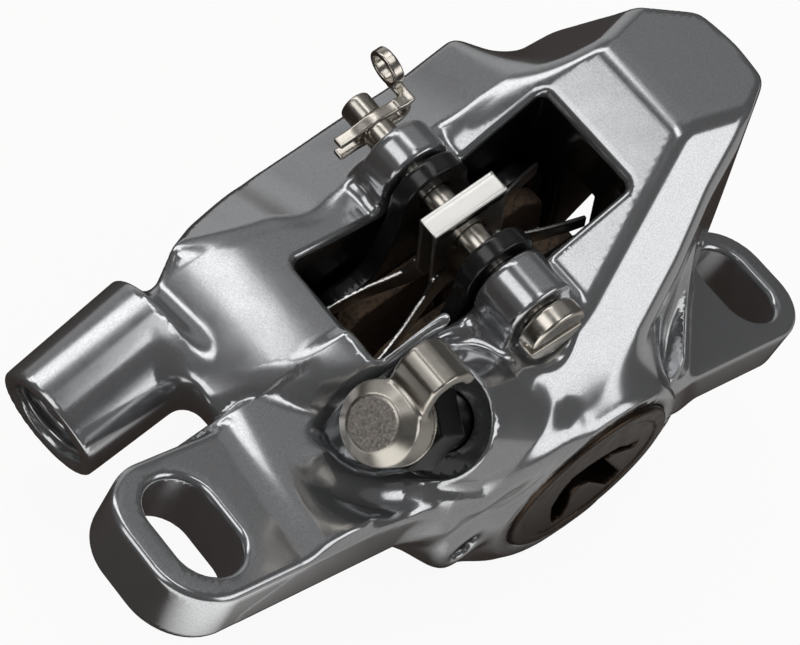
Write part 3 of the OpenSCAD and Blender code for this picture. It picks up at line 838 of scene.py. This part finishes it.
class CaliperFinishSettings(bpy.types.PropertyGroup):
    paint: FloatVectorProperty(
        name="Paint", description="Colour of the metallic grey paint", subtype="COLOR",
        size=3, min=0, max=1, default=(0.44, 0.445, 0.455))
    paint_rough: FloatProperty(
        name="Paint roughness", description="How satin the paint is", subtype="FACTOR",
        default=0.18, min=0.1, max=0.7)
    anodised: FloatVectorProperty(
        name="Bore cap", description="Colour of the anodised bore cap", subtype="COLOR",
        size=3, min=0, max=1, default=(0.05, 0.035, 0.025))
    nickel: FloatVectorProperty(
        name="Nickel", description="Colour of the axle and its clip", subtype="COLOR",
        size=3, min=0, max=1, default=(0.62, 0.58, 0.52))


class CaliperStageSettings(bpy.types.PropertyGroup):
    floor_drop: FloatProperty(
        name="Floor drop", description="Gap between the caliper and the floor",
        default=0.0005, min=0, max=0.2, unit="LENGTH")
    key_power: FloatProperty(
        name="Key light", description="Brightness of the soft lamps' faces", default=1.0,
        min=0, max=20)
    lens: FloatProperty(
        name="Lens", description="Focal length for a 36 mm wide frame", default=114.39,
        min=20, max=300)


SETTINGS = {
    "caliper_casting": CaliperCastingSettings,
    "caliper_finish": CaliperFinishSettings,
    "caliper_stage": CaliperStageSettings,
}


def add_piece(name, field, low, high, pitch, body, material, solid):
    """Meshes a field, gives it its finish and its body if one is given, and hides the solid it stands
    for.
    """
    obj = field_mesh(name, field, low, high, pitch)
    obj.data.materials.append(material)
    if body:
        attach(obj, body)
    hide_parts(solid)
    return obj


def small_pitch(context):
    return context.scene.caliper_casting.small_pitch / MM


def repaint_node(name, material):
    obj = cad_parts[name]
    if not obj.material_slots:
        obj.data.materials.append(material)
    for place in obj.material_slots:
        place.material = material


class CALIPER_OT_casting(bpy.types.Operator):
    """Build the painted one-piece caliper casting"""

    bl_idname = "caliper.casting"
    bl_label = "Casting"

    def execute(self, context):
        pitch = context.scene.caliper_casting.pitch / MM
        plan = Outline(PLAN_POINTS, 0.55)
        side = Outline(SIDE_POINTS, 0.8)
        obj = add_piece("casting", casting_field(plan, side), (-45, -12, -13.5), (45, 29.5, 35),
                        pitch, "caliper", flake_paint(context.scene.caliper_finish),
                        "caliper_body")
        points = np.empty(3 * len(obj.data.vertices))
        obj.data.vertices.foreach_get("co", points)
        # depth into window, slot and bores, kept as the inside attribute that paints shade there
        depth = dark_depth(leaning(points.reshape(-1, 3).T / MM))
        inside = obj.data.attributes.new("inside", "FLOAT", "POINT")
        inside.data.foreach_set("value", depth.astype(np.float32))
        return {"FINISHED"}


def thread_tree():
    """Ridge wound into a helix: radius, pitch, turns and depth are its named inputs."""
    tree = bpy.data.node_groups.new("Thread ridge", "GeometryNodeTree")
    face = tree.interface
    face.new_socket("Geometry", in_out="INPUT", socket_type="NodeSocketGeometry")
    names = {}
    for label, value in (("Radius", 0.004), ("Pitch", 0.001), ("Turns", 8.0), ("Depth", 0.0006)):
        socket = face.new_socket(label, in_out="INPUT", socket_type="NodeSocketFloat")
        socket.default_value = value
        names[label] = socket.identifier
    socket = face.new_socket("Material", in_out="INPUT", socket_type="NodeSocketMaterial")
    names["Material"] = socket.identifier
    face.new_socket("Geometry", in_out="OUTPUT", socket_type="NodeSocketGeometry")
    given = node(tree, "NodeGroupInput").outputs
    radius, turns = given["Radius"], given["Turns"]
    spiral = node(tree, "GeometryNodeCurveSpiral", {
        "Resolution": 48, "Rotations": turns, "Start Radius": radius, "End Radius": radius,
        "Height": node_math(tree, "MULTIPLY", given["Pitch"], turns),
    })
    profile = node(tree, "GeometryNodeCurvePrimitiveCircle",
                   {"Resolution": 4, "Radius": given["Depth"]})
    sweep = node(tree, "GeometryNodeCurveToMesh", {
        "Curve": spiral.outputs[0], "Profile Curve": profile.outputs[0], "Fill Caps": True,
    })
    real = node(tree, "GeometryNodeRealizeInstances", {"Geometry": sweep.outputs[0]})
    paint = node(tree, "GeometryNodeSetMaterial",
                 {"Geometry": real.outputs[0], "Material": given["Material"]})
    node(tree, "NodeGroupOutput", {"Geometry": paint.outputs[0]})
    return tree, names


def grown(name, tree, names, values, place):
    """Runs a node tree, keeps its result as a plain mesh and moves that mesh to its place."""
    holder = add_object(name + "_tree", bpy.data.meshes.new(name + "_tree"))
    modifier = holder.modifiers.new("Tree", "NODES")
    modifier.node_group = tree
    for label, value in values.items():
        modifier[names[label]] = value
    holder.update_tag()
    graph = bpy.context.evaluated_depsgraph_get()
    mesh = bpy.data.meshes.new_from_object(holder.evaluated_get(graph), depsgraph=graph)
    holder.modifiers.remove(modifier)
    bpy.data.objects.remove(holder)
    mesh.name = name
    mesh.transform(place)
    if not mesh.polygons:
        raise RuntimeError(name + " came out empty")
    return add_object(name, mesh)


def along(point, axis):
    """Matrix that puts +Z along an axis from a point given in millimetres."""
    turn = Vector(axis).to_track_quat("Z", "Y").to_matrix().to_4x4()
    return Matrix.Translation([c * MM for c in point]) @ turn


class CALIPER_OT_threads(bpy.types.Operator):
    """Wind the thread inside the hose port"""

    bl_idname = "caliper.threads"
    bl_label = "Hose port thread"

    def execute(self, context):
        pitch = context.scene.caliper_casting.thread_pitch
        tree, names = thread_tree()
        inward = tuple(-c for c in PORT_AXIS)
        start = tuple(p + 0.8 * c for p, c in zip(PORT_POINT, inward))
        values = {"Radius": 4.05 * MM, "Pitch": pitch, "Turns": 9.5, "Depth": 0.42 * MM,
                  "Material": flake_paint(context.scene.caliper_finish)}
        obj = grown("port_thread", tree, names, values, along(start, inward))
        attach(obj, "caliper")
        return {"FINISHED"}


class CALIPER_OT_bore_cap(bpy.types.Operator):
    """Build the anodised bore cap with its key recess"""

    bl_idname = "caliper.bore_cap"
    bl_label = "Bore cap"

    def execute(self, context):
        add_piece("bore_plug", bore_cap_field(), (-5, -10.6, -8.5), (16.5, -5.4, 12.5),
                  small_pitch(context) * 1.2, "caliper", anodised(context.scene.caliper_finish),
                  "bore_cap")
        return {"FINISHED"}


class CALIPER_OT_pads(bpy.types.Operator):
    """Build the two pads: backing plates and friction blocks"""

    bl_idname = "caliper.pads"
    bl_label = "Pads"

    def execute(self, context):
        black = black_coat()
        compound = friction_compound()
        pitch = small_pitch(context) * 1.6
        for side, y0 in (("outboard", 4.6), ("inboard", 13.6)):
            add_piece(side + "_plate", plate_field(y0), (-11, y0 - 0.6, -13.5), (22, y0 + 2.4, 25),
                      pitch, side + "_pad", black, side + "_backing_plate")
        for side, y0, y1 in (("outboard", 6.4, 8.4), ("inboard", 11.6, 13.6)):
            add_piece(side + "_friction", lining_field(y0, y1), (-9.5, y0 - 0.6, -11),
                      (19.5, y1 + 0.6, 16.5), pitch, side + "_pad", compound,
                      side + "_lining")
        return {"FINISHED"}


class CALIPER_OT_spring(bpy.types.Operator):
    """Build the pad spring as a bridge and two halves"""

    bl_idname = "caliper.spring"
    bl_label = "Pad spring"

    def execute(self, context):
        steel = satin_metal("Spring steel", (0.76, 0.75, 0.72), 0.3, 700)
        pitch = 0.17
        add_piece("spring_bridge", spring_bridge_field, (-10, 8.5, 16), (1, 11.5, 25), pitch,
                  "caliper", steel, "pad_spring")
        for side, label, y0, y1 in ((-1, "outboard", 5.9, 9.6), (1, "inboard", 10.4, 14.1)):
            half = add_piece("spring_" + label, spring_half_field(side), (-12, y0, 5),
                             (12.5, y1, 25), pitch, None, steel, "pad_spring")
            root, tip = ((0, (ROTOR_Y + out * side) * MM, 0) for out in (1.15, 3.55))
            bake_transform(half)
            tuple(root)
            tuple(tip)
        return {"FINISHED"}


class CALIPER_OT_axle(bpy.types.Operator):
    """Build the slotted pad axle and its spring clip"""

    bl_idname = "caliper.axle"
    bl_label = "Pad axle and clip"

    def execute(self, context):
        nickel = tuple(context.scene.caliper_finish.nickel)
        metal = satin_metal("Satin nickel", nickel, 0.24)
        add_piece("slotted_axle", axle_field, (-7.4, -3.7, 14.6), (0, 25.6, 21.8),
                  small_pitch(context), "axle", metal, "pad_axle")
        add_piece("wire_clip", clip_field, (-9.8, 21, 13.8), (0.8, 27.6, 24.8), 0.14,
                  "clip", metal, "axle_clip")
        return {"FINISHED"}


class CALIPER_OT_nipple(bpy.types.Operator):
    """Build the bleed nipple and its cap"""

    bl_idname = "caliper.nipple"
    bl_label = "Bleed nipple and cap"

    def execute(self, context):
        pitch = small_pitch(context)
        dark = satin_metal("Blackened steel", (0.03, 0.03, 0.03), 0.3)
        add_piece("hex_nipple", nipple_field, (-25.5, -6.6, 3.5), (-3.5, 2.2, 18), pitch,
                  "nipple", dark, "bleed_nipple")
        warm = satin_metal("Champagne satin", (0.50, 0.47, 0.42), 0.3)
        cap = add_piece("nipple_cover", bleed_cap_field(), (-26.5, -6.6, 8.5), (-15.5, 2.2, 23),
                        pitch, "nipple_cap", warm, "bleed_cap")
        cap.data.materials.append(grit_metal("Cast end face", (0.36, 0.33, 0.30), 0.42))
        centre = np.array(NIPPLE_POINT) * MM
        axis = np.array(NIPPLE_AXIS)
        for face in cap.data.polygons:
            away = np.array(face.center) - centre
            t = float(away @ axis)
            if t > -0.0002 and np.linalg.norm(away - t * axis) < 0.0022:
                face.material_index = 1
        return {"FINISHED"}


class CALIPER_OT_inner_parts(bpy.types.Operator):
    """Give the pistons and seals their finishes"""

    bl_idname = "caliper.inner_parts"
    bl_label = "Pistons and seals"

    def execute(self, context):
        steel = satin_metal("Piston steel", (0.6, 0.59, 0.56), 0.22)
        rubber = seal_rubber()
        for name in ("outboard_piston", "inboard_piston"):
            repaint_node(name, steel)
        for name in ("outboard_piston_seal", "inboard_piston_seal", "bore_cap_seal"):
            repaint_node(name, rubber)
        return {"FINISHED"}


# the camera's own directions in the frame, and its place in millimetres
CAMERA_RIGHT = (0.664, -0.617, 0.422)
CAMERA_DOWN = (-0.265, -0.722, -0.639)
CAMERA_AHEAD = (0.699, 0.312, -0.643)
CAMERA_PLACE = (-161.2, -60.6, 150.4)

# half the floor's side and the tent's radius, in metres
FLOOR_HALF = 3.0
TENT_R = 1.6

# the cloth's own brightness at its rim and top, and its brighter places: turn, rise, inner and
# outer angle, all in degrees, and strength
TENT_LOW, TENT_HIGH = 0.07, 0.1
TENT_GLOWS = ((46, 62, 14, 26, 0.17), (66, 8, 8, 32, 0.42))

# soft lamps: name, turn and rise in degrees, width and height in millimetres, brightness
LAMPS = (
    ("side_softbox", 167.5, 38.5, 400, 275, 1.65),
    ("front_softbox", -67, 26, 390, 330, 1.7),
    ("back_strip", 106, 42, 140, 640, 2.2),
    ("top_strip", -178, 77, 340, 100, 2.3),
)
LAMP_AIM = (0, 5, 10)
LAMP_DISTANCE = 600


def toward(turn, rise):
    """Unit vector from a turn round the vertical and a rise above the floor, in degrees."""
    a, b = math.radians(turn), math.radians(rise)
    return (math.cos(a) * math.cos(b), math.sin(a) * math.cos(b), math.sin(b))


def add_lamp(name, turn, rise, width, height, power):
    """Rectangular soft lamp that faces the caliper; power is the brightness of its face."""
    data = bpy.data.lights.new(name, "AREA")
    data.shape = "RECTANGLE"
    data.size, data.size_y = width * MM, height * MM
    data.energy = power * math.pi * data.size * data.size_y
    away = toward(turn, rise)
    place = [a + LAMP_DISTANCE * c for a, c in zip(LAMP_AIM, away)]
    add_object(name, data).matrix_world = along(place, away)


def add_camera(lens):
    data = bpy.data.cameras.new("Camera")
    data.sensor_width = 36
    data.lens = lens
    data.clip_start = 0.01
    camera = add_object("Camera", data)
    rows = [[CAMERA_RIGHT[i], -CAMERA_DOWN[i], -CAMERA_AHEAD[i], CAMERA_PLACE[i] * MM]
            for i in range(3)]
    camera.matrix_world = Matrix(rows + [[0, 0, 0, 1]])
    bpy.context.scene.camera = camera


def mixed_shader(tree, factor, a, b):
    return node(tree, "ShaderNodeMixShader", {0: factor, 1: a.outputs[0], 2: b.outputs[0]})


def pale_world():
    """White where it is seen, softer grey where it only lights the caliper."""
    world = bpy.data.worlds.new("Studio")
    tree = emptied(world)
    rays = node(tree, "ShaderNodeLightPath").outputs
    seen = node_math(tree, "MAXIMUM", rays["Is Camera Ray"], rays["Is Glossy Ray"])
    seen = node_math(tree, "MAXIMUM", seen, rays["Is Transmission Ray"])
    sky = node(tree, "ShaderNodeBackground", {"Color": (0.55, 0.56, 0.57, 1)})
    shown = node(tree, "ShaderNodeBackground", {"Color": (1, 1, 1, 1)})
    mix = mixed_shader(tree, seen, sky, shown)
    node(tree, "ShaderNodeOutputWorld", {0: mix.outputs[0]})
    return world


def pale_floor():
    """Pale floor that keeps its shadow; in reflections it shows painted light: a dark ground with one
    bright emitting sheet on it.
    """
    mat, tree, shader, place = start_material("Pale floor", (0.7, 0.67, 0.64), 0.0, 0.8)
    pale = mixed_colour(tree, grain(tree, place, 900), (0.62, 0.585, 0.55), (0.66, 0.625, 0.59))
    tree.links.new(pale, shader.inputs["Base Color"])
    rays = node(tree, "ShaderNodeLightPath").outputs
    split = node(tree, "ShaderNodeSeparateXYZ", {0: place}).outputs
    # painted reflection: glossy rays see an emitting sheet, bright in front of the caliper, most of
    # all on the left, and dark elsewhere
    front = spread(tree, split["Y"], 1.0, 0.0, -0.021, -0.011)
    left = spread(tree, split["X"], 1.0, 0.25, -0.028, -0.006)
    sheet = mixed_colour(tree, node_math(tree, "MULTIPLY", front, left),
                         (0.03, 0.022, 0.018), (1.5, 1.5, 1.48))
    glossy = node(tree, "ShaderNodeEmission", {"Color": sheet})
    shown = node(tree, "ShaderNodeEmission", {"Color": (1, 1, 1, 1)})
    mirrored = mixed_shader(tree, rays["Is Glossy Ray"], shader, glossy)
    share = node_math(tree, "MULTIPLY", rays["Is Camera Ray"], 0.93)
    camera = mixed_shader(tree, share, mirrored, shown)
    out = next(n for n in tree.nodes if n.type == "OUTPUT_MATERIAL")
    tree.links.new(camera.outputs[0], out.inputs[0])
    return mat


def add_floor(drop):
    low = CAD_BOX[0][2] - drop
    mesh = bpy.data.meshes.new("floor")
    corners = ((-1, -1), (1, -1), (1, 1), (-1, 1))
    mesh.from_pydata([(FLOOR_HALF * x, FLOOR_HALF * y, low) for x, y in corners], [], [(0, 1, 2, 3)])
    mesh.materials.append(pale_floor())
    add_object("floor", mesh)


def tent_cloth():
    """Faint glow, brighter in a few round places."""
    mat = bpy.data.materials.new("Tent cloth")
    tree = emptied(mat)
    place = node(tree, "ShaderNodeTexCoord").outputs["Object"]
    unit = node(tree, "ShaderNodeVectorMath", {0: place}, operation="NORMALIZE").outputs[0]
    split = node(tree, "ShaderNodeSeparateXYZ", {0: unit}).outputs
    total = spread(tree, split["Z"], TENT_LOW, TENT_HIGH, 0, 1)
    for turn, rise, inner, outer, strength in TENT_GLOWS:
        near = node(tree, "ShaderNodeVectorMath", {0: unit, 1: toward(turn, rise)},
                    operation="DOT_PRODUCT").outputs["Value"]
        low, high = math.cos(math.radians(outer)), math.cos(math.radians(inner))
        total = node_math(tree, "ADD", total, spread(tree, near, 0, strength, low, high))
    glow = node(tree, "ShaderNodeEmission", {"Strength": total})
    node(tree, "ShaderNodeOutputMaterial", {0: glow.outputs[0]})
    return mat


def add_tent():
    """Grey cloth tent round the stage that only reflections see."""
    rings, sides = 24, 48
    points = [(0, 0, TENT_R)]
    for i in range(1, rings):
        for j in range(sides):
            way = toward(360 * j / sides, 90 - 90 * i / (rings - 1))
            points.append([TENT_R * c for c in way])
    faces = [(0, 1 + (j + 1) % sides, 1 + j) for j in range(sides)]
    for k in range(1, 1 + sides * (rings - 2), sides):
        for j in range(sides):
            n = (j + 1) % sides
            faces.append((k + j, k + n, k + sides + n, k + sides + j))
    mesh = bpy.data.meshes.new("tent")
    mesh.from_pydata(points, [], faces)
    mesh.materials.append(tent_cloth())
    tent = add_object("tent", mesh)
    for ray in ("camera", "diffuse", "shadow", "transmission"):
        setattr(tent, "visible_" + ray, False)


class CALIPER_OT_stage(bpy.types.Operator):
    """Set the camera, floor, lamps and world"""

    bl_idname = "caliper.stage"
    bl_label = "Stage"

    def execute(self, context):
        look = context.scene.caliper_stage
        add_camera(look.lens)
        context.scene.view_settings.view_transform = "Standard"
        add_floor(look.floor_drop)
        context.scene.world = pale_world()
        add_tent()
        for *lamp, glow in LAMPS:
            add_lamp(*lamp, look.key_power * glow)
        return {"FINISHED"}


class CALIPER_PT_panel(bpy.types.Panel):
    """Caliper pieces"""

    bl_label = "Caliper"
    bl_idname = "CALIPER_PT_panel"
    bl_space_type = "VIEW_3D"
    bl_region_type = "UI"
    bl_category = "Caliper"

    def draw(self, context):
        layout = self.layout
        for step in STEPS:
            layout.operator(step.bl_idname)
        for name, cls in SETTINGS.items():
            for key in cls.__annotations__:
                layout.prop(getattr(context.scene, name), key)


STEPS = (
    CALIPER_OT_stage, CALIPER_OT_casting, CALIPER_OT_threads, CALIPER_OT_bore_cap, CALIPER_OT_pads,
    CALIPER_OT_spring, CALIPER_OT_axle, CALIPER_OT_nipple, CALIPER_OT_inner_parts,
)

CLASSES = (*SETTINGS.values(), *STEPS, CALIPER_PT_panel)


def register():
    for cls in CLASSES:
        bpy.utils.register_class(cls)
    for name, cls in SETTINGS.items():
        setattr(bpy.types.Scene, name, PointerProperty(type=cls))


def unregister():
    for name in SETTINGS:
        delattr(bpy.types.Scene, name)
    for cls in reversed(CLASSES):
        bpy.utils.unregister_class(cls)


def main():
    register()
    bpy.ops.caliper.stage()
    bpy.ops.caliper.casting()
    bpy.ops.caliper.threads()
    bpy.ops.caliper.bore_cap()
    bpy.ops.caliper.pads()
    bpy.ops.caliper.spring()
    bpy.ops.caliper.axle()
    bpy.ops.caliper.nipple()
    bpy.ops.caliper.inner_parts()


if __name__ == "__main__":
    main()
